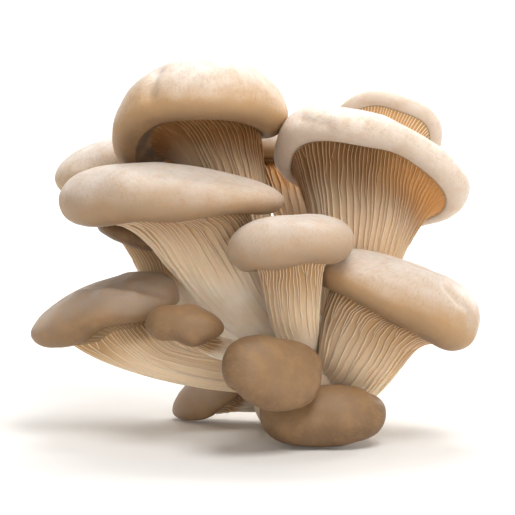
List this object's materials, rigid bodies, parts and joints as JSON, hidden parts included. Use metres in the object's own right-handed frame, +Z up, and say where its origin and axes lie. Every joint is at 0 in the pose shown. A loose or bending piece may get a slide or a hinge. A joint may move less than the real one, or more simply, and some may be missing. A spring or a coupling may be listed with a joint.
{
  "type": "oyster mushroom cluster",
  "caption": "Bunch of fleshy shelf-like mushrooms with rolled caps and ridged, trumpet-shaped stems that run down into one shared foot, cut flat underneath.",
  "frame": {"origin": "centre of the flat cut underneath the foot", "axes": "+X to the right and -Y to the front as the cluster is seen from its front, +Z up from the flat cut"},
  "size_m": [0.1882, 0.147, 0.1592],
  "materials": {
    "cap_skin": "satin beige-brown skin with fine fibres and specks",
    "gill_flesh": "matt cream flesh with thin gills, faintly translucent",
    "foot_flesh": "matt cream flesh, cut flat underneath"
  },
  "bodies": {
    "root": {"foot": "foot_flesh", "cap_top_left": "cap_skin", "stem_top_left": "gill_flesh", "cap_left_wide": "cap_skin", "stem_left_wide": "gill_flesh", "cap_centre": "cap_skin", "stem_centre": "gill_flesh", "cap_top_right": "cap_skin", "stem_top_right": "gill_flesh", "cap_back_right": "cap_skin", "stem_back_right": "gill_flesh", "cap_right": "cap_skin", "stem_right": "gill_flesh", "cap_back_left": "cap_skin", "stem_back_left": "gill_flesh", "cap_left_inner": "cap_skin", "stem_left_inner": "gill_flesh", "cap_lower_left": "cap_skin", "stem_lower_left": "gill_flesh", "cap_small_left": "cap_skin", "stem_small_left": "gill_flesh", "cap_front_low": "cap_skin", "stem_front_low": "gill_flesh", "cap_bottom": "cap_skin", "stem_bottom": "gill_flesh", "cap_bottom_left": "cap_skin", "stem_bottom_left": "gill_flesh", "cap_back_middle": "cap_skin", "stem_back_middle": "gill_flesh"}
  },
  "joints": []
}
